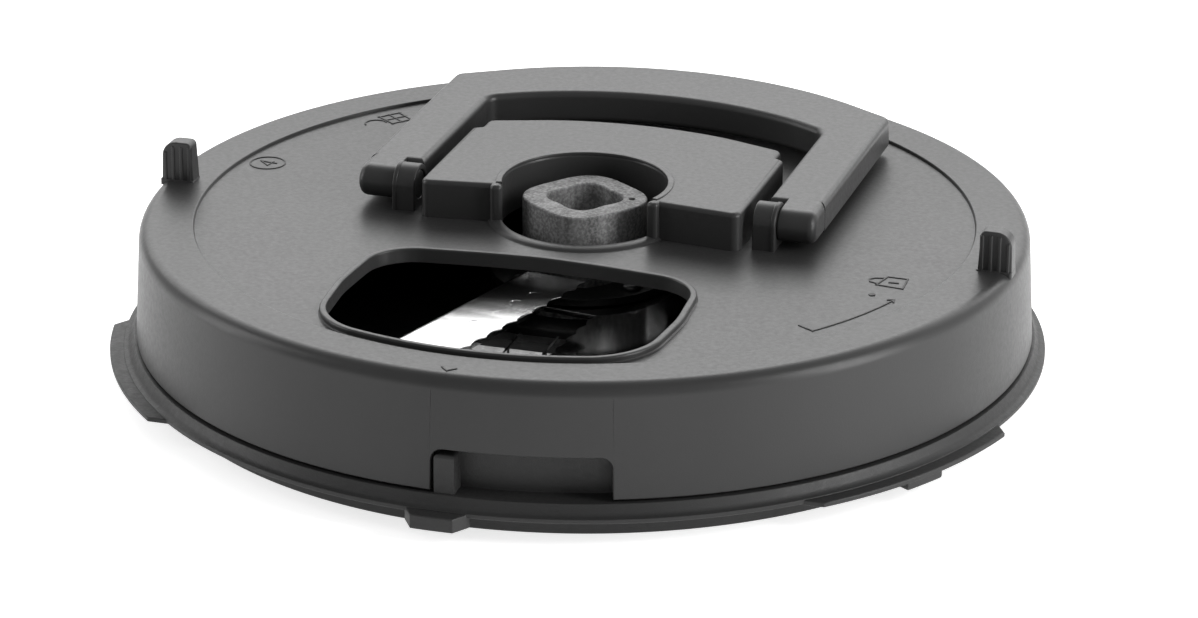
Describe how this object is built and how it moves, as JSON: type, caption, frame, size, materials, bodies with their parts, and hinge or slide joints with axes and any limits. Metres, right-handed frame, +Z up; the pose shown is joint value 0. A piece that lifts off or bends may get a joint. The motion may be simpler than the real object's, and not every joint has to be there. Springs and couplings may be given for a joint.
{
  "type": "food processor dicing attachment",
  "caption": "Round dicing attachment: twist-locked lid with folding carry handle and food opening over a geared slicing disc and a dicing grid in a base ring.",
  "frame": {"origin": "on the disc's axis, at the lower edge of the base's centring wall, on which the unit stands", "axes": "+Z up along the disc's axis, -Y to the front where the notch and the food opening are, +Y to the handle's crossbar"},
  "size_m": [0.206, 0.212, 0.0434],
  "materials": {
    "lid_plastic": "satin dark grey moulded plastic",
    "handle_plastic": "satin dark grey moulded plastic",
    "base_plastic": "finely textured near-black moulded plastic",
    "hub_nylon": "rough mottled grey glass-filled nylon",
    "gear_nylon": "natural off-white nylon",
    "disc_steel": "polished stainless steel",
    "grid_steel": "ground stainless steel",
    "screw_steel": "zinc-plated steel"
  },
  "bodies": {
    "base": {"base_ring": "base_plastic", "grid_frame": "base_plastic", "grid_strip_x_1": "grid_steel", "grid_strip_x_2": "grid_steel", "grid_strip_x_3": "grid_steel", "grid_strip_x_4": "grid_steel", "grid_strip_x_5": "grid_steel", "grid_strip_y_1": "grid_steel", "grid_strip_y_2": "grid_steel", "grid_strip_y_3": "grid_steel", "grid_strip_y_4": "grid_steel", "grid_strip_y_5": "grid_steel", "grid_strip_y_6": "grid_steel", "grid_strip_y_7": "grid_steel", "grid_strip_y_8": "grid_steel", "ring_gear": "gear_nylon", "drum_bushing": "gear_nylon", "gear_cover": "base_plastic", "cover_screw_1": "screw_steel", "cover_screw_2": "screw_steel", "cover_screw_3": "screw_steel"},
    "lid": {"lid_shell": "lid_plastic"},
    "handle": {"carry_handle": "handle_plastic"},
    "rotor": {"slicing_disc": "disc_steel", "slicing_blade": "disc_steel", "blade_rivet_1": "disc_steel", "blade_rivet_2": "disc_steel", "blade_rivet_3": "disc_steel", "blade_rivet_4": "disc_steel", "drive_hub": "hub_nylon", "hub_backing_ring": "hub_nylon", "hub_screw_1": "screw_steel", "hub_screw_2": "screw_steel", "hub_screw_3": "screw_steel", "hub_screw_4": "screw_steel", "planet_carrier": "gear_nylon", "planet_pin_1": "screw_steel", "planet_pin_2": "screw_steel", "planet_pin_3": "screw_steel"},
    "sun": {"sun_gear": "gear_nylon"},
    "planet_1": {"planet_gear_1": "gear_nylon"},
    "planet_2": {"planet_gear_2": "gear_nylon"},
    "planet_3": {"planet_gear_3": "gear_nylon"}
  },
  "joints": [
    {"name": "lid_twist", "type": "hinge", "parent": "base", "child": "lid", "pos_m": [0, 0, 0.0215], "axis": [0, 0, 1], "range_deg": [-18, 0]},
    {"name": "handle_fold", "type": "hinge", "parent": "lid", "child": "handle", "pos_m": [0, -0.003, 0.0386], "axis": [1, 0, 0], "range_deg": [0, 95]},
    {"name": "disc_spin", "type": "hinge", "parent": "base", "child": "rotor", "pos_m": [0, 0, 0.0198], "axis": [0, 0, 1], "continuous": true},
    {"name": "sun_spin", "type": "hinge", "parent": "base", "child": "sun", "pos_m": [0, 0, 0.01], "axis": [0, 0, 1], "continuous": true},
    {"name": "planet_spin_1", "type": "hinge", "parent": "rotor", "child": "planet_1", "pos_m": [0.015, 0, 0.0101], "axis": [0, 0, 1], "continuous": true},
    {"name": "planet_spin_2", "type": "hinge", "parent": "rotor", "child": "planet_2", "pos_m": [-0.0075, 0.01299, 0.0101], "axis": [0, 0, 1], "continuous": true},
    {"name": "planet_spin_3", "type": "hinge", "parent": "rotor", "child": "planet_3", "pos_m": [-0.0075, -0.01299, 0.0101], "axis": [0, 0, 1], "continuous": true}
  ],
  "couplings": [
    {"joint": "sun_spin", "follows": "disc_spin", "ratio": 3.3333},
    {"joint": "planet_spin_1", "follows": "disc_spin", "ratio": -3.5},
    {"joint": "planet_spin_2", "follows": "disc_spin", "ratio": -3.5},
    {"joint": "planet_spin_3", "follows": "disc_spin", "ratio": -3.5}
  ]
}
